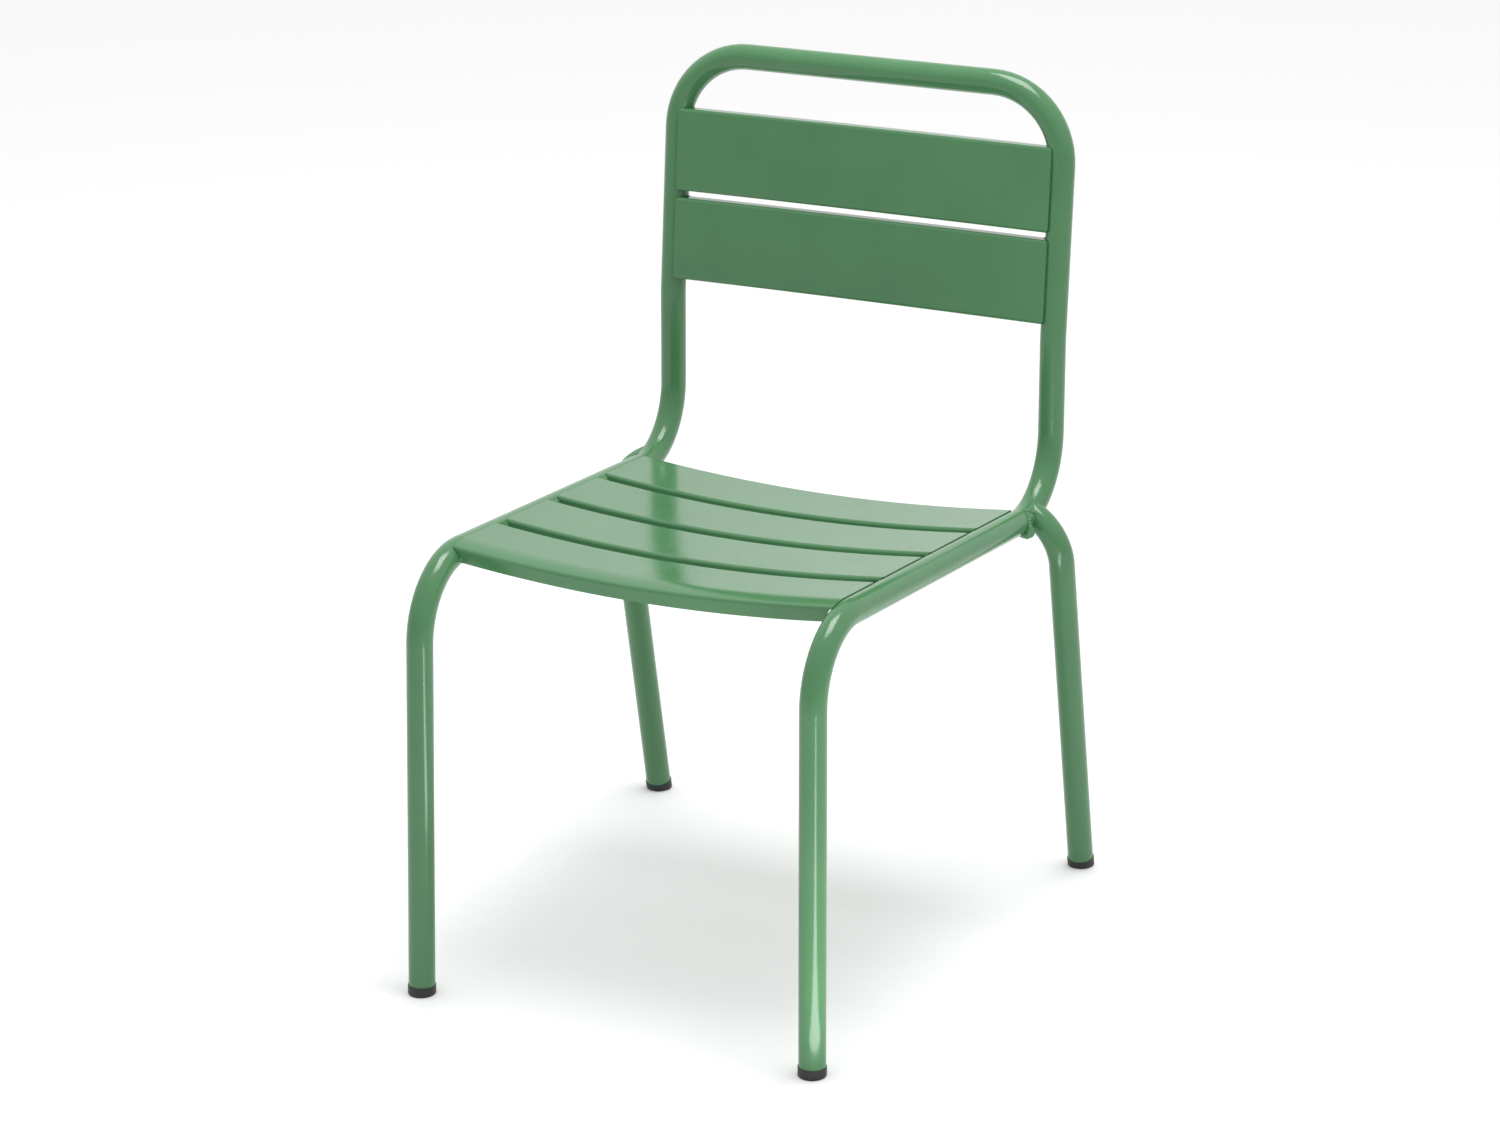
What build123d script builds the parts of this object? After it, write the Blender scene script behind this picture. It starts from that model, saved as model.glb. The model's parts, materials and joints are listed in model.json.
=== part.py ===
"""Stacking chair of bent steel tube with pressed sheet slats.

One long tube is bent into the front legs, the seat rails, the uprights and the top rail. Two rear
legs are welded to the outside of its rear bends. Four seat slats and two back slats, folded from
sheet, are tacked between the rails and the uprights. Plastic feet close the four tube ends.

Millimetres. The sitter faces -Y, +X is the sitter's left and +Z is up. The origin is on the floor,
under the middle of the chair's box.
"""

from build123d import *
from math import asin, cos, degrees, hypot, pi, sin, tan
import os

# ---- Tube ------------------------------------------------------------------------------------
TUBE_DIAMETER = 25.0
TUBE_WALL = 1.5

# ---- Frame corners: heights above the floor, and depths behind the front feet --------------------
FRONT_CORNER_HEIGHT = 415.0
FRONT_CORNER_DEPTH = 18.5
REAR_CORNER_HEIGHT = 374.0
REAR_CORNER_DEPTH = 523.0
KINK_HEIGHT = 540.0
KINK_DEPTH = 528.5
TOP_HEIGHT = 777.5
TOP_DEPTH = 554.0

# ---- Frame half widths, to the tube's centre line ------------------------------------------------
FRONT_FOOT_HALF_WIDTH = 202.0
FRONT_CORNER_HALF_WIDTH = 198.0
REAR_HALF_WIDTH = 204.0

# ---- Frame bend radii, to the tube's centre line -------------------------------------------------
FRONT_BEND = 71.0
REAR_BEND = 71.0
KINK_BEND = 150.0
TOP_BEND = 74.0

# ---- Rear legs ---------------------------------------------------------------------------------
REAR_FOOT_HALF_WIDTH = 236.0
REAR_FOOT_DEPTH = 536.5
LEG_CORNER_HALF_WIDTH = 238.0
LEG_CORNER_DEPTH = 469.5
LEG_CORNER_HEIGHT = 366.0
LEG_BEND = 48.0
LEG_JOINT_DEPTH = 476.0

# ---- Feet --------------------------------------------------------------------------------------
FOOT_OVERHANG = 0.7
FOOT_HEIGHT = 9.0
FOOT_EDGE = 1.5
PLUG_LENGTH = 22.0
PLUG_CLEARANCE = 0.1

# ---- Slats -------------------------------------------------------------------------------------
SHEET = 1.5
SHEET_BEND = 3.0
SLAT_CORNER = 5.0
FLANGE_DEPTH = 15.0
SLAT_INSET = 6.0
END_GAP = 0.6

SEAT_SLAT_WIDTH = 84.3
SEAT_SLAT_GAP = 15.3
SEAT_SLAT_SAG = 11.7
SEAT_SLAT_PROUD = 0.5
SEAT_FRONT_SETBACK = 49.0

BACK_SLAT_WIDTH = 81.0
BACK_SLAT_GAP = 7.0
BACK_SLAT_SAG = 4.0
BACK_SLAT_PROUD = 1.3
BACK_SLAT_START = 14.8

# ---- Welds -------------------------------------------------------------------------------------
LEG_WELD = 2.6
LEG_WELD_BLOB = 7.5
TACK_RADIUS = 2.0
TACK_LENGTH = 6.0
TACK_END = 1.8

SEAT_SLAT_NAMES = ["front_seat_slat", "second_seat_slat", "third_seat_slat", "rear_seat_slat"]
BACK_SLAT_NAMES = ["lower_back_slat", "upper_back_slat"]
SIDES = {"left": 1, "right": -1}

# ---- Values worked out from the sizes above --------------------------------------------------------
tube_radius = TUBE_DIAMETER / 2
bore_radius = tube_radius - TUBE_WALL
foot_radius = tube_radius + FOOT_OVERHANG
ORIGIN_DEPTH = (TOP_DEPTH + tube_radius - foot_radius) / 2


def point(half_width, depth, height):
    """A point from its distance off the middle, depth behind the front feet, and height."""
    return Vector(half_width, depth - ORIGIN_DEPTH, height)


front_foot = point(FRONT_FOOT_HALF_WIDTH, 0, 0)
front_corner = point(FRONT_CORNER_HALF_WIDTH, FRONT_CORNER_DEPTH, FRONT_CORNER_HEIGHT)
rear_corner = point(REAR_HALF_WIDTH, REAR_CORNER_DEPTH, REAR_CORNER_HEIGHT)
kink = point(REAR_HALF_WIDTH, KINK_DEPTH, KINK_HEIGHT)
top_corner = point(REAR_HALF_WIDTH, TOP_DEPTH, TOP_HEIGHT)
rear_foot = point(REAR_FOOT_HALF_WIDTH, REAR_FOOT_DEPTH, 0)
leg_corner = point(LEG_CORNER_HALF_WIDTH, LEG_CORNER_DEPTH, LEG_CORNER_HEIGHT)

front_leg_up = (front_corner - front_foot).normalized()
rear_leg_up = (leg_corner - rear_foot).normalized()
front_tube_end = front_foot + front_leg_up * (FOOT_HEIGHT / front_leg_up.Z)
rear_tube_end = rear_foot + rear_leg_up * (FOOT_HEIGHT / rear_leg_up.Z)


def other_side(place):
    """The same point on the other side of the chair."""
    return Vector(-place.X, place.Y, place.Z)


# ---- The frame's centre line -----------------------------------------------------------------------
side_points = [front_tube_end, front_corner, rear_corner, kink, top_corner]
side_bends = [FRONT_BEND, REAR_BEND, KINK_BEND, TOP_BEND]
frame_points = side_points + [other_side(place) for place in reversed(side_points)]

with BuildLine() as frame_line:
    FilletPolyline(*frame_points, radius=side_bends + side_bends[::-1])


def bar(line, radius):
    """A solid round bar of the given radius along a centre line."""
    with BuildPart() as solid:
        with BuildSketch(Plane(origin=line @ 0, z_dir=line % 0)):
            Circle(radius)
        sweep(path=line)
    return solid.part


def pipe(line):
    """The chair's tube along a centre line."""
    with BuildPart() as solid:
        with BuildSketch(Plane(origin=line @ 0, z_dir=line % 0)):
            Circle(tube_radius)
            Circle(bore_radius, mode=Mode.SUBTRACT)
        sweep(path=line)
    return solid.part


frame_wire = frame_line.wire()
frame_bar = bar(frame_wire, tube_radius)
pieces = {}


# ---- Frame tube ------------------------------------------------------------------------------------
with BuildPart() as frame_tube:
    add(pipe(frame_wire))
pieces["frame_tube"] = frame_tube.part


def frame_point(plane, along):
    """Where the frame's left half has run a given distance along a plane's X direction, and its heading."""
    low, high = 0.0, 0.5
    for _ in range(40):
        middle = (low + high) / 2
        if plane.to_local_coords(frame_wire.position_at(middle)).X < along:
            low = middle
        else:
            high = middle
    return frame_wire.position_at(low), frame_wire.tangent_at(low)


# ---- Rear legs, cut to sit against the frame's rear bends ----------------------------------------------
depth_plane = Plane(origin=front_foot, x_dir=(0, 1, 0), z_dir=(0, 0, 1))
leg_joint = frame_point(depth_plane, LEG_JOINT_DEPTH)[0]
with BuildLine() as leg_line:
    FilletPolyline(rear_tube_end, leg_corner, leg_joint, radius=LEG_BEND)
leg_wire = leg_line.wire()
leg_bar = bar(leg_wire, tube_radius)

with BuildPart() as rear_leg_left:
    add(pipe(leg_wire))
    add(frame_bar, mode=Mode.SUBTRACT)
pieces["rear_leg_left"] = rear_leg_left.part

with BuildPart() as rear_leg_right:
    add(rear_leg_left.part.mirror(Plane.YZ))
pieces["rear_leg_right"] = rear_leg_right.part


# ---- Rear leg welds: a bead round the joint, and a blob in the crotch under it ---------------------------
def crotch_point():
    """The point under the joint where the leg's and the frame's skins meet."""
    towards_leg = (leg_corner - leg_joint).normalized()
    below = Vector(0, 0, -1)
    across = (below - towards_leg * below.dot(towards_leg)).normalized()
    return leg_joint + (towards_leg + across) * tube_radius


with BuildPart() as rear_leg_weld_left:
    add(bar(leg_wire, tube_radius + LEG_WELD))
    add(bar(frame_wire, tube_radius + LEG_WELD), mode=Mode.INTERSECT)
    with Locations(crotch_point()):
        Sphere(LEG_WELD_BLOB)
    add(frame_bar, mode=Mode.SUBTRACT)
    add(leg_bar, mode=Mode.SUBTRACT)
pieces["rear_leg_weld_left"] = rear_leg_weld_left.part

with BuildPart() as rear_leg_weld_right:
    add(rear_leg_weld_left.part.mirror(Plane.YZ))
pieces["rear_leg_weld_right"] = rear_leg_weld_right.part


# ---- Feet: a plug in the tube's end, on a pad cut level with the floor -------------------------------
def foot(tube_end, leg_up):
    with BuildPart() as solid:
        with BuildSketch(Plane(origin=tube_end, z_dir=leg_up)):
            Circle(foot_radius)
        extrude(amount=-2 * FOOT_HEIGHT)
        split(bisect_by=Plane.XY, keep=Keep.TOP)
        fillet(solid.faces().sort_by(Axis.Z)[0].edges(), FOOT_EDGE)
        with BuildSketch(Plane(origin=tube_end, z_dir=leg_up)):
            Circle(bore_radius - PLUG_CLEARANCE)
        extrude(amount=PLUG_LENGTH)
    return solid.part


for end, tube_end, leg_up in (("front", front_tube_end, front_leg_up), ("rear", rear_tube_end, rear_leg_up)):
    left_foot = foot(tube_end, leg_up)
    pieces[end + "_left_foot"] = left_foot
    pieces[end + "_right_foot"] = left_foot.mirror(Plane.YZ)


# ---- Slats -------------------------------------------------------------------------------------------
# A slat's section is drawn on the chair's middle plane, along the rail that carries it: local X runs
# along the rail's centre line and local Y rises from it to the slat's face.
def rail_plane(start, end):
    along = Vector(0, end.Y - start.Y, end.Z - start.Z).normalized()
    return Plane(origin=(0, start.Y, start.Z), x_dir=along, z_dir=(1, 0, 0))


seat_plane = rail_plane(front_corner, rear_corner)
back_plane = rail_plane(kink, top_corner)
seat_rail_length = hypot(rear_corner.Y - front_corner.Y, rear_corner.Z - front_corner.Z)
front_bend_turn = (front_foot - front_corner).get_angle(rear_corner - front_corner)
front_bend_start = FRONT_BEND / tan(front_bend_turn * pi / 360)


def half_width_at(along):
    """The seat rail's distance from the middle, at a distance along it."""
    share = along / seat_rail_length
    return FRONT_CORNER_HALF_WIDTH + (REAR_HALF_WIDTH - FRONT_CORNER_HALF_WIDTH) * share


def flat_section(low, high, rise):
    """A flat strip with both edges folded down, as its outside corners and its inside corners."""
    fold = rise - FLANGE_DEPTH
    outside = [(low, fold), (low, rise), (high, rise), (high, fold)]
    under = rise - SHEET
    inside = [(high - SHEET, fold), (high - SHEET, under), (low + SHEET, under), (low + SHEET, fold)]
    with BuildSketch() as section:
        with BuildLine():
            Polyline(*outside, *inside, close=True)
        make_face()
        fold_corners(section, outside[1:3], inside[1:3])
    return section.sketch


def rolled_section(low, high, rise):
    """The same strip, with its front running down round the rail's front bend."""
    turn = asin((front_bend_start - low) / (FRONT_BEND + rise))

    def on_roll(height, angle):
        reach = FRONT_BEND + height
        return (front_bend_start - reach * sin(angle), reach * cos(angle) - FRONT_BEND)

    fold = rise - FLANGE_DEPTH
    under = rise - SHEET
    sheet_turn = SHEET / (FRONT_BEND + rise)
    with BuildSketch() as section:
        with BuildLine():
            Line(on_roll(fold, turn), on_roll(rise, turn))
            ThreePointArc(on_roll(rise, turn), on_roll(rise, turn / 2), on_roll(rise, 0))
            Polyline(on_roll(rise, 0), (high, rise), (high, fold), (high - SHEET, fold))
            Polyline((high - SHEET, fold), (high - SHEET, under), on_roll(under, 0))
            inner = turn - sheet_turn
            ThreePointArc(on_roll(under, 0), on_roll(under, inner / 2), on_roll(under, inner))
            Polyline(on_roll(under, inner), on_roll(fold, inner), on_roll(fold, turn))
        make_face()
        outside = [on_roll(rise, turn), (high, rise)]
        fold_corners(section, outside, [on_roll(under, inner), (high - SHEET, under)])
    return section.sketch


def fold_corners(section, outside, inside):
    """Rounds the folds of the section being drawn: one radius outside the sheet, and one inside."""
    for corners, radius in ((outside, SHEET_BEND), (inside, SHEET_BEND - SHEET)):
        for corner in corners:
            near = section.vertices().sort_by_distance(corner)[0]
            fillet(near, radius)


def slat(section, plane, low, high, reach_low, reach_high, rise, sag):
    """A section carried round a shallow bow, with rounded corners, its ends cut to stand off the tube."""
    reach = max(reach_low, reach_high)
    bow_radius = (reach**2 + sag**2) / (2 * sag)
    half_turn = asin(reach / bow_radius)
    bow_centre = plane.from_local_coords((0, rise - sag + bow_radius, 0))
    inward = plane.y_dir * cos(half_turn) - Vector(sin(half_turn), 0, 0)
    end_plane = Plane(origin=bow_centre, x_dir=plane.x_dir, z_dir=plane.x_dir.cross(inward))
    below = plane.from_local_coords((0, -sag - FLANGE_DEPTH, 0))
    near, far = reach_low - SLAT_INSET, reach_high - SLAT_INSET
    front, rear = low - SHEET / 2, high + SHEET / 2
    with BuildPart() as solid:
        with BuildSketch(end_plane):
            add(Location((0, -rise - bow_radius)) * section)
        revolve(axis=Axis(bow_centre, plane.x_dir), revolution_arc=2 * degrees(half_turn))
        with BuildSketch(Plane(origin=below, x_dir=plane.x_dir, z_dir=plane.y_dir)) as outline:
            with BuildLine():
                Polyline((front, near), (rear, far), (rear, -far), (front, -near), close=True)
            make_face()
            fillet(outline.vertices(), SLAT_CORNER)
        extrude(amount=sag + FLANGE_DEPTH + 2 * rise, mode=Mode.INTERSECT)
        add(slat_clearance, mode=Mode.SUBTRACT)
    return solid.part


slat_clearance = bar(frame_wire, tube_radius + END_GAP)


# ---- Tacks: short beads that tie each folded edge's end to the tube ------------------------------------
def tack(plane, along, side):
    """One bead, upright in the gap between a folded edge's end and the tube beside it."""
    on_tube, heading = frame_point(plane, along)
    upright = Vector(1, 0, 0).cross(heading).normalized()
    beside = on_tube - Vector(tube_radius + END_GAP / 2, 0, 0)
    with BuildPart() as bead:
        with BuildSketch(Plane(origin=Vector(side * beside.X, beside.Y, beside.Z), z_dir=upright)):
            Circle(TACK_RADIUS)
        extrude(amount=TACK_LENGTH / 2, both=True)
        fillet(bead.edges().filter_by(GeomType.CIRCLE), TACK_END)
    return bead.part


def tacks(slat_part, plane, places):
    """A slat's tacks: one on each side at each of the given places along the rail."""
    with BuildPart() as beads:
        for along in places:
            for side in SIDES.values():
                add(tack(plane, along, side))
        add(frame_bar, mode=Mode.SUBTRACT)
        add(slat_part, mode=Mode.SUBTRACT)
    return beads.part


def row(start, width, gap, number):
    """The front or lower edge and the rear or upper edge of one slat in a row."""
    low = start + number * (width + gap)
    return low, low + width


seat_rise = tube_radius + SEAT_SLAT_PROUD
for number, name in enumerate(SEAT_SLAT_NAMES):
    low, high = row(SEAT_FRONT_SETBACK, SEAT_SLAT_WIDTH, SEAT_SLAT_GAP, number)
    rolled = low < front_bend_start
    section = rolled_section(low, high, seat_rise) if rolled else flat_section(low, high, seat_rise)
    front_fold = front_bend_start - (front_bend_start - low) * FRONT_BEND / (FRONT_BEND + seat_rise)
    reach_low, reach_high = half_width_at(low), half_width_at(high)
    pieces[name] = slat(section, seat_plane, low, high, reach_low, reach_high, seat_rise, SEAT_SLAT_SAG)
    places = [(front_fold if rolled else low) + SHEET / 2, high - SHEET / 2]
    pieces[name + "_welds"] = tacks(pieces[name], seat_plane, places)

back_rise = tube_radius + BACK_SLAT_PROUD
for number, name in enumerate(BACK_SLAT_NAMES):
    low, high = row(BACK_SLAT_START, BACK_SLAT_WIDTH, BACK_SLAT_GAP, number)
    section = flat_section(low, high, back_rise)
    reach = REAR_HALF_WIDTH
    pieces[name] = slat(section, back_plane, low, high, reach, reach, back_rise, BACK_SLAT_SAG)
    places = [low + SHEET / 2, high - SHEET / 2]
    pieces[name + "_welds"] = tacks(pieces[name], back_plane, places)


# ---- Write each piece to its own file ------------------------------------------------------------------
os.makedirs("parts", exist_ok=True)
for name, piece in pieces.items():
    piece.label = name
    export_step(piece, "parts/" + name + ".step")
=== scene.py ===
"""Looks for the stacking chair: glossy green powder coat, moulded black feet, a white studio."""

import json
import math

import bmesh
import bpy
from mathutils import Matrix, Vector


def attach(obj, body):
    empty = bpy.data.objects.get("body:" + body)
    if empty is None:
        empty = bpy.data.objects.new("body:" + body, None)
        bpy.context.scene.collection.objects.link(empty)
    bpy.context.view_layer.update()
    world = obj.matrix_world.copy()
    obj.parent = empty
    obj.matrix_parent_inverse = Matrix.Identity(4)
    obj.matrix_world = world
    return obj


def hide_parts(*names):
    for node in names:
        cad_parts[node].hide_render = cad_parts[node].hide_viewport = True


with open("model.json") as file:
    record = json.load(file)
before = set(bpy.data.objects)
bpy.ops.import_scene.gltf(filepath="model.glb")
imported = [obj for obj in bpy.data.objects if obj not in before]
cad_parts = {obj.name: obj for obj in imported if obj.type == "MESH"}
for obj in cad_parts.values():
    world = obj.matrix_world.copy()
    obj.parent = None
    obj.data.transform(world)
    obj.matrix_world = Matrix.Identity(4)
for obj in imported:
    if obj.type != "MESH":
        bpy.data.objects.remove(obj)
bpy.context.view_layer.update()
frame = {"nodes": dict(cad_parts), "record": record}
nodes = frame["nodes"]
scene = bpy.context.scene

# ---- Camera: angles in degrees, lengths in metres, framing in pixels of a 1500 x 1125 picture ------
CAMERA_AZIMUTH = 27.32
CAMERA_ELEVATION = 19.23
CAMERA_ROLL = -0.89
CAMERA_DISTANCE = 4.114
AIM = Vector((0.0, -0.029, 0.400))
FOCAL_PIXELS = 4432.0
AIM_PIXEL = (730.0, 537.0)
PICTURE = (1500.0, 1125.0)
SENSOR_MM = 36.0


def add_camera():
    azimuth, elevation, roll = (math.radians(a) for a in (CAMERA_AZIMUTH, CAMERA_ELEVATION, CAMERA_ROLL))
    back = Vector((math.sin(azimuth) * math.cos(elevation),
                   -math.cos(azimuth) * math.cos(elevation),
                   math.sin(elevation)))
    level_right = Vector((0, 0, 1)).cross(back).normalized()
    level_up = back.cross(level_right)
    right = level_right * math.cos(roll) + level_up * math.sin(roll)
    up = back.cross(right)
    data = bpy.data.cameras.new("camera")
    data.sensor_width = SENSOR_MM
    data.lens = FOCAL_PIXELS / PICTURE[0] * SENSOR_MM
    data.shift_x = (PICTURE[0] / 2 - AIM_PIXEL[0]) / PICTURE[0]
    data.shift_y = (AIM_PIXEL[1] - PICTURE[1] / 2) / PICTURE[0]
    data.clip_end = 60.0
    camera = bpy.data.objects.new("camera", data)
    scene.collection.objects.link(camera)
    turn = Matrix((right, up, back)).transposed().to_4x4()
    camera.matrix_world = Matrix.Translation(AIM + back * CAMERA_DISTANCE) @ turn
    scene.camera = camera


add_camera()


# ---- Materials: noise scales in waves a metre, bump heights in metres ---------------------------------
GREEN_DEEP = (0.054, 0.170, 0.068, 1)
GREEN_LIGHT = (0.060, 0.184, 0.074, 1)
COAT_ROUGHNESS = (0.14, 0.20)
COAT_IOR = 1.5
BLACK_DEEP = (0.010, 0.010, 0.011, 1)
BLACK_LIGHT = (0.016, 0.016, 0.017, 1)
PLASTIC_ROUGHNESS = (0.42, 0.58)
NOISE_LOW = 0.3
NOISE_HIGH = 0.7


def new_material(name):
    material = bpy.data.materials.new(name)
    material.use_nodes = True
    tree = material.node_tree
    shader = tree.nodes["Principled BSDF"]
    return material, tree, shader


def add_node(tree, kind, **sockets):
    node = tree.nodes.new(kind)
    for name, value in sockets.items():
        node.inputs[name].default_value = value
    return node


def noise(tree, scale, detail=2.0, roughness=0.5):
    """Noise over the object's own coordinates; the scale is in waves a metre."""
    place = tree.nodes.new("ShaderNodeTexCoord")
    texture = add_node(tree, "ShaderNodeTexNoise", Scale=scale, Detail=detail, Roughness=roughness)
    tree.links.new(place.outputs["Object"], texture.inputs["Vector"])
    return texture.outputs["Fac"]


def ramp(tree, factor, low_colour, high_colour):
    """One colour where the noise is low, turning to another where it is high."""
    node = tree.nodes.new("ShaderNodeValToRGB")
    stops = zip(node.color_ramp.elements, (NOISE_LOW, NOISE_HIGH), (low_colour, high_colour))
    for stop, position, colour in stops:
        stop.position = position
        stop.color = colour
    tree.links.new(factor, node.inputs["Fac"])
    return node.outputs["Color"]


def spread(tree, factor, low, high):
    """The noise, stretched to run between two values."""
    node = tree.nodes.new("ShaderNodeMapRange")
    ranges = {"From Min": NOISE_LOW, "From Max": NOISE_HIGH, "To Min": low, "To Max": high}
    for socket, value in ranges.items():
        node.inputs[socket].default_value = value
    tree.links.new(factor, node.inputs["Value"])
    return node.outputs["Result"]


def bump(tree, shader, heights):
    """Stacks (height, distance in metres, strength) bumps, coarse first, onto the shader's normal."""
    normal = None
    for height, distance, strength in heights:
        node = add_node(tree, "ShaderNodeBump", Strength=strength, Distance=distance)
        tree.links.new(height, node.inputs["Height"])
        if normal is not None:
            tree.links.new(normal, node.inputs["Normal"])
        normal = node.outputs["Normal"]
    tree.links.new(normal, shader.inputs["Normal"])


def powder_coat():
    material, tree, shader = new_material("powder_coat")
    shade = ramp(tree, noise(tree, 14.0), GREEN_DEEP, GREEN_LIGHT)
    tree.links.new(shade, shader.inputs["Base Color"])
    rough = spread(tree, noise(tree, 40.0, 3.0), *COAT_ROUGHNESS)
    tree.links.new(rough, shader.inputs["Roughness"])
    shader.inputs["IOR"].default_value = COAT_IOR
    bump(tree, shader, [(noise(tree, 240.0, 1.0), 0.00012, 0.25), (noise(tree, 1100.0, 2.0), 0.00003, 0.35)])
    return material


def moulded_plastic():
    material, tree, shader = new_material("foot_plastic")
    shade = ramp(tree, noise(tree, 60.0), BLACK_DEEP, BLACK_LIGHT)
    tree.links.new(shade, shader.inputs["Base Color"])
    rough = spread(tree, noise(tree, 300.0, 3.0), *PLASTIC_ROUGHNESS)
    tree.links.new(rough, shader.inputs["Roughness"])
    bump(tree, shader, [(noise(tree, 1600.0, 3.0), 0.00008, 0.5)])
    return material


materials = {"powder_coat": powder_coat(), "foot_plastic": moulded_plastic()}
slot_of = {part["node"]: part["material_slot"] for part in frame["record"]["subparts"]}
for name, node in nodes.items():
    node.data.materials.clear()
    node.data.materials.append(materials[slot_of[name]])


# ---- Slats: pressed sheet, built finer than the CAD so that their folds catch a clean line of light ------
MM = 0.001
MIDDLE_DEPTH = 276.65
SEAT_RAIL = ((18.5, 415.0), (523.0, 374.0))
BACK_RAIL = ((528.5, 540.0), (554.0, 777.5))
SEAT_RAIL_HALF_WIDTHS = (198.0, 204.0)
BACK_RAIL_HALF_WIDTHS = (204.0, 204.0)
TUBE_RADIUS = 12.5
FRONT_BEND = 71.0
FRONT_BEND_START = 73.65
SHEET = 1.5
FOLD = 3.0
CORNER = 5.0
FLANGE = 15.0
INSET = 6.0
GAP = 0.5
EDGE_ROUND = 0.3
STATIONS = 120
SEAT_ROW = dict(start=49.0, width=84.3, gap=15.3, sag=11.7, rise=13.0)
BACK_ROW = dict(start=14.8, width=81.0, gap=7.0, sag=4.0, rise=13.8)
SEAT_SLATS = ("front_seat_slat", "second_seat_slat", "third_seat_slat", "rear_seat_slat")
BACK_SLATS = ("lower_back_slat", "upper_back_slat")


def rail_axes(rail):
    """The rail's start, its direction and the direction its slats face, from (depth, height) ends."""
    start, end = (Vector((0, (depth - MIDDLE_DEPTH) * MM, height * MM)) for depth, height in rail)
    along = (end - start).normalized()
    return start, along, Vector((1, 0, 0)).cross(along), (end - start).length / MM


def arc(centre, radius, first, last, steps):
    """Points on an arc, with angles in degrees."""
    turns = [math.radians(first + (last - first) * i / steps) for i in range(steps + 1)]
    return [(centre[0] + radius * math.cos(t), centre[1] + radius * math.sin(t)) for t in turns]


def run(start, end, steps):
    """Evenly spaced points between two ends, without the ends."""
    return [(start[0] + (end[0] - start[0]) * i / steps, start[1] + (end[1] - start[1]) * i / steps)
            for i in range(1, steps)]


def slat_profile(low, high, rise, rolled):
    """The sheet's outer line across the slat as (distance along the rail, height), and its heights over
    the tube's own line, which bends down under the front slat."""
    bottom = rise - FLANGE
    flange = run((low, bottom), (low, rise - FOLD), 6)
    front = [(low, bottom)] + flange + arc((low + FOLD, rise - FOLD), FOLD, 180, 90, 10)
    top = run((low + FOLD, rise), (high - FOLD, rise), 40)
    back = arc((high - FOLD, rise - FOLD), FOLD, 90, 0, 10) + run((high, rise - FOLD), (high, bottom), 6)
    points = front + top + back + [(high, bottom)]
    heights = [height for _, height in points]
    if rolled:
        turn = math.asin((FRONT_BEND_START - low) / (FRONT_BEND + rise))
        length = turn * (FRONT_BEND + rise)
        points = [roll(point, low, length, rise) for point in points]
    return points, heights


def roll(point, low, length, rise):
    """Wraps the front of a flat profile round the rail's front bend."""
    place, height = point
    scale = length / (FRONT_BEND_START - low)
    if place >= FRONT_BEND_START:
        return point
    ahead = (FRONT_BEND_START - place) * scale
    angle = ahead / (FRONT_BEND + rise)
    reach = FRONT_BEND + height
    return FRONT_BEND_START - reach * math.sin(angle), reach * math.cos(angle) - FRONT_BEND


def slat_end(place, height, low, high, reach, sag):
    """How far from the middle one line of the slat ends: rounded corners, then clear of the tube."""
    end = reach - INSET
    edge = min(place - low, high - place) + SHEET / 2
    if edge < CORNER:
        end += math.sqrt(max(CORNER**2 - (CORNER - edge)**2, 0.0)) - CORNER
    clear = TUBE_RADIUS + GAP
    for _ in range(3):
        over = height - sag * (1 - (end / reach)**2)
        if abs(over) < clear:
            end = min(end, reach - math.sqrt(clear**2 - over**2))
    return end


def add_slat(name, rail, half_widths, low, high, sag, rise, rolled=False):
    start, along, up, rail_length = rail_axes(rail)
    points, heights = slat_profile(low, high, rise, rolled)
    stations = [math.sin(math.pi / 2 * (2 * i / STATIONS - 1)) for i in range(STATIONS + 1)]
    vertices = []
    for (place, drawn), height in zip(points, heights):
        reach = half_widths[0] + (half_widths[1] - half_widths[0]) * place / rail_length
        end = slat_end(place, height, low, high, reach, sag)
        for station in stations:
            x = station * end
            lift = drawn - sag * (1 - (x / reach)**2)
            vertices.append(Vector((x * MM, 0, 0)) + start + along * (place * MM) + up * (lift * MM))
    across = len(stations)
    faces = [(r * across + c, (r + 1) * across + c, (r + 1) * across + c + 1, r * across + c + 1)
             for r in range(len(points) - 1) for c in range(across - 1)]
    mesh = bpy.data.meshes.new(name + "_sheet")
    mesh.from_pydata(vertices, [], [face[::-1] for face in faces])
    mesh.shade_smooth()
    piece = bpy.data.objects.new(name + "_sheet", mesh)
    scene.collection.objects.link(piece)
    thickness = piece.modifiers.new("thickness", "SOLIDIFY")
    thickness.thickness = SHEET * MM
    thickness.offset = -1
    thickness.use_even_offset = True
    edges = piece.modifiers.new("edges", "BEVEL")
    edges.width = EDGE_ROUND * MM
    edges.segments = 3
    edges.limit_method = "ANGLE"
    edges.angle_limit = math.radians(50)
    edges.harden_normals = True
    mesh.materials.append(materials["powder_coat"])
    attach(piece, "root")
    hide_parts(name)
    return piece


for number, name in enumerate(SEAT_SLATS):
    low = SEAT_ROW["start"] + number * (SEAT_ROW["width"] + SEAT_ROW["gap"])
    add_slat(name, SEAT_RAIL, SEAT_RAIL_HALF_WIDTHS, low, low + SEAT_ROW["width"], SEAT_ROW["sag"],
             SEAT_ROW["rise"], rolled=number == 0)
for number, name in enumerate(BACK_SLATS):
    low = BACK_ROW["start"] + number * (BACK_ROW["width"] + BACK_ROW["gap"])
    add_slat(name, BACK_RAIL, BACK_RAIL_HALF_WIDTHS, low, low + BACK_ROW["width"], BACK_ROW["sag"],
             BACK_ROW["rise"])


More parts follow.
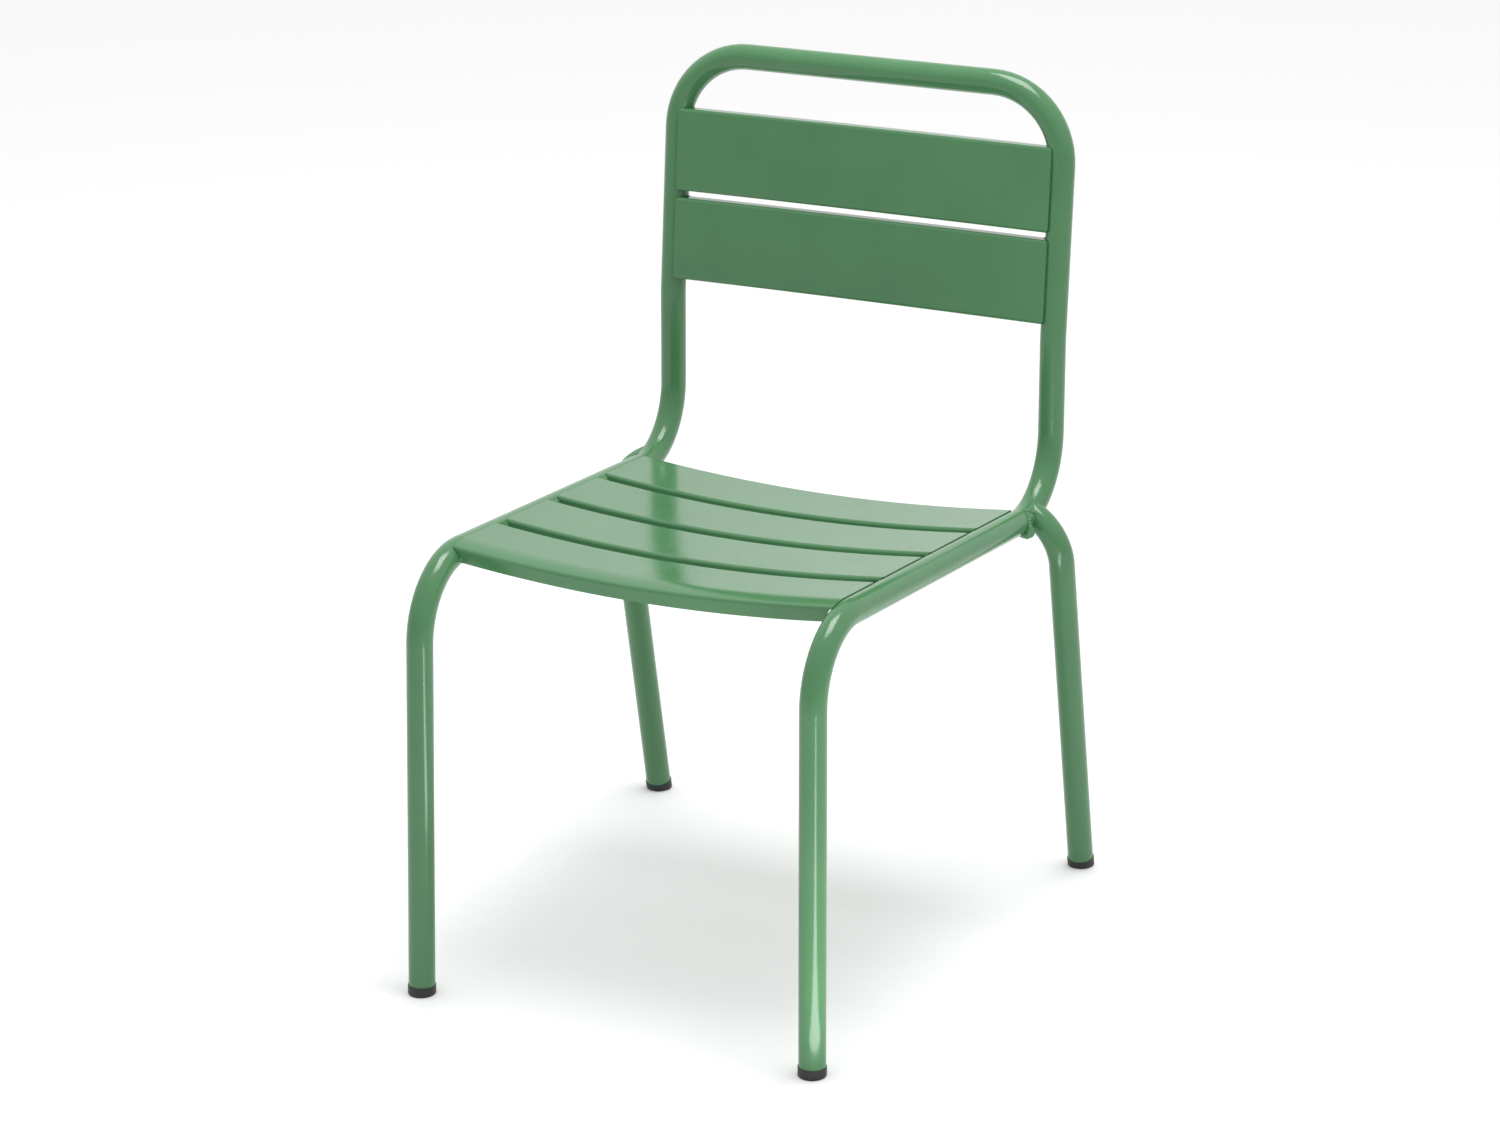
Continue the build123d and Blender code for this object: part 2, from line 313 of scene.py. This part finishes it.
# ---- Rear leg welds: a rippled bead laid round each joint, heavier at the front of the crotch ------------
REAR_BEND = 71.0
LEG_CORNER = (238.0, 469.5, 366.0)
JOINT_DEPTH = 476.0
FRAME_SIDE = ((198.0, 18.5, 415.0), (204.0, 523.0, 374.0), (204.0, 528.5, 540.0))
BEAD_RADIUS = 2.1
BEAD_STEPS = 26
LUMP_SIDE = Vector((0.35, -0.85, -0.40)).normalized()
LUMP_EXTRA = 3.2
LUMP_TIGHTNESS = 8
SEARCH_FROM = 30.0
SEARCH_TO = -6.0
SEARCH_STEP = 0.05
BEAD_SINK = 0.2
DROP_SKIN = 0.35


def place_mm(half_width, depth, height):
    """A point in millimetres, in the chair's frame, from its depth behind the front feet."""
    return Vector((half_width, depth - MIDDLE_DEPTH, height))


def rear_bend():
    """The centre of the frame's rear bend, in millimetres, and the direction square to its plane."""
    front, corner, top = (place_mm(*end) for end in FRAME_SIDE)
    to_front, to_top = (front - corner).normalized(), (top - corner).normalized()
    half = to_front.angle(to_top) / 2
    reach = REAR_BEND / math.sin(half)
    return corner + (to_front + to_top).normalized() * reach, to_front.cross(to_top).normalized()


def joint_on_bend(centre, normal):
    """The point of the rear bend's centre line at the joint's depth."""
    down = (Vector((0, 0, -1)) - normal * -normal.z).normalized()
    ahead = normal.cross(down)
    if ahead.y > 0:
        ahead = -ahead
    low, high = 0.0, math.pi / 2
    for _ in range(40):
        turn = (low + high) / 2
        point = centre + (down * math.cos(turn) + ahead * math.sin(turn)) * REAR_BEND
        if point.y > JOINT_DEPTH - MIDDLE_DEPTH:
            low = turn
        else:
            high = turn
    return point


def from_bend(point, centre, normal):
    """A point's distance from the rear bend's centre line."""
    offset = point - centre
    lift = offset.dot(normal)
    return math.hypot((offset - normal * lift).length - REAR_BEND, lift)


def weld_balls():
    """Centres and radii of the overlapping drops of weld metal, for the sitter's left side."""
    centre, normal = rear_bend()
    joint = joint_on_bend(centre, normal)
    out = (place_mm(*LEG_CORNER) - joint).normalized()
    across = (Vector((0, 0, -1)) - out * -out.z).normalized()
    beside = out.cross(across)
    balls = []
    for step in range(BEAD_STEPS):
        turn = 2 * math.pi * step / BEAD_STEPS
        side = across * math.cos(turn) + beside * math.sin(turn)
        wall = joint + side * TUBE_RADIUS
        reach = SEARCH_FROM
        while reach > SEARCH_TO and from_bend(wall + out * reach, centre, normal) > TUBE_RADIUS:
            reach -= SEARCH_STEP
        if reach > SEARCH_TO:
            extra = LUMP_EXTRA * max(side.dot(LUMP_SIDE), 0.0)**LUMP_TIGHTNESS
            at = joint + side * (TUBE_RADIUS - BEAD_SINK) + out * (reach + BEAD_SINK + extra)
            balls.append((at, BEAD_RADIUS + extra))
    return balls


def add_weld(name, side):
    mesh = bpy.data.meshes.new(name + "_bead")
    drops = bmesh.new()
    for centre, radius in weld_balls():
        place = Matrix.Translation(Vector((side * centre.x, centre.y, centre.z)) * MM)
        bmesh.ops.create_icosphere(drops, subdivisions=3, radius=radius * MM, matrix=place)
    drops.to_mesh(mesh)
    drops.free()
    piece = bpy.data.objects.new(name + "_bead", mesh)
    scene.collection.objects.link(piece)
    skin = piece.modifiers.new("skin", "REMESH")
    skin.mode = "VOXEL"
    skin.voxel_size = DROP_SKIN * MM
    skin.use_smooth_shade = True
    soften = piece.modifiers.new("soften", "SMOOTH")
    soften.factor = 0.5
    soften.iterations = 3
    mesh.materials.append(materials["powder_coat"])
    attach(piece, "root")
    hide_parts(name)


add_weld("rear_leg_weld_left", 1)
add_weld("rear_leg_weld_right", -1)


# ---- Studio ----------------------------------------------------------------------------------------
FLOOR_HALF = 12.0
FLOOR_COLOUR = (0.90, 0.90, 0.90, 1)
FLOOR_ROUGHNESS = 0.9
FLOOR_SPECULAR = 0.1
BRIGHT_SIDE = (-0.05, 0.55, 0.82)
WORLD_SPAN = 0.6
WORLD_DIM = 0.55
WORLD_BRIGHT = 1.08


def flat_material(name, colour, roughness):
    material, tree, shader = new_material(name)
    shader.inputs["Base Color"].default_value = colour
    shader.inputs["Roughness"].default_value = roughness
    shader.inputs["Specular IOR Level"].default_value = FLOOR_SPECULAR
    return material


def add_floor():
    half = FLOOR_HALF
    mesh = bpy.data.meshes.new("floor")
    corners = [(-half, -half, 0), (half, -half, 0), (half, half, 0), (-half, half, 0)]
    mesh.from_pydata(corners, [], [(0, 1, 2, 3)])
    mesh.materials.append(flat_material("floor", FLOOR_COLOUR, FLOOR_ROUGHNESS))
    floor = bpy.data.objects.new("floor", mesh)
    scene.collection.objects.link(floor)


def add_area_light(name, place, aim, width, height, watts, turn=0.0):
    """A soft light the camera can't see, turned about the vertical by an angle in degrees."""
    data = bpy.data.lights.new(name, "AREA")
    data.shape = "RECTANGLE"
    data.size = width
    data.size_y = height
    data.energy = watts
    light = bpy.data.objects.new(name, data)
    scene.collection.objects.link(light)
    light.location = place
    facing = (Vector(place) - Vector(aim)).to_track_quat("Z", "Y").to_matrix()
    light.rotation_euler = (Matrix.Rotation(math.radians(turn), 3, "Z") @ facing).to_euler()
    light.visible_camera = False


def add_world():
    """Soft white light, brightest from behind and above and dimmer from the viewer's side."""
    world = bpy.data.worlds.new("studio")
    world.use_nodes = True
    scene.world = world
    tree = world.node_tree
    place = tree.nodes.new("ShaderNodeTexCoord")
    towards = tree.nodes.new("ShaderNodeVectorMath")
    towards.operation = "DOT_PRODUCT"
    towards.inputs[1].default_value = BRIGHT_SIDE
    tree.links.new(place.outputs["Generated"], towards.inputs[0])
    level = tree.nodes.new("ShaderNodeMapRange")
    ranges = {"From Min": -WORLD_SPAN, "From Max": WORLD_SPAN, "To Min": WORLD_DIM, "To Max": WORLD_BRIGHT}
    for socket, value in ranges.items():
        level.inputs[socket].default_value = value
    tree.links.new(towards.outputs["Value"], level.inputs["Value"])
    background = tree.nodes["Background"]
    background.inputs["Color"].default_value = (1, 1, 1, 1)
    tree.links.new(level.outputs["Result"], background.inputs["Strength"])


add_floor()
add_world()
add_area_light("top", (0.2, 0.1, 2.6), (0, 0, 0.4), 1.2, 1.2, 36.0)
add_area_light("low_strip", (0.70, -0.73, 0.003), (0.70, -0.73, 1.0), 0.16, 1.2, 4.5, turn=48.0)
scene.view_settings.view_transform = "Standard"
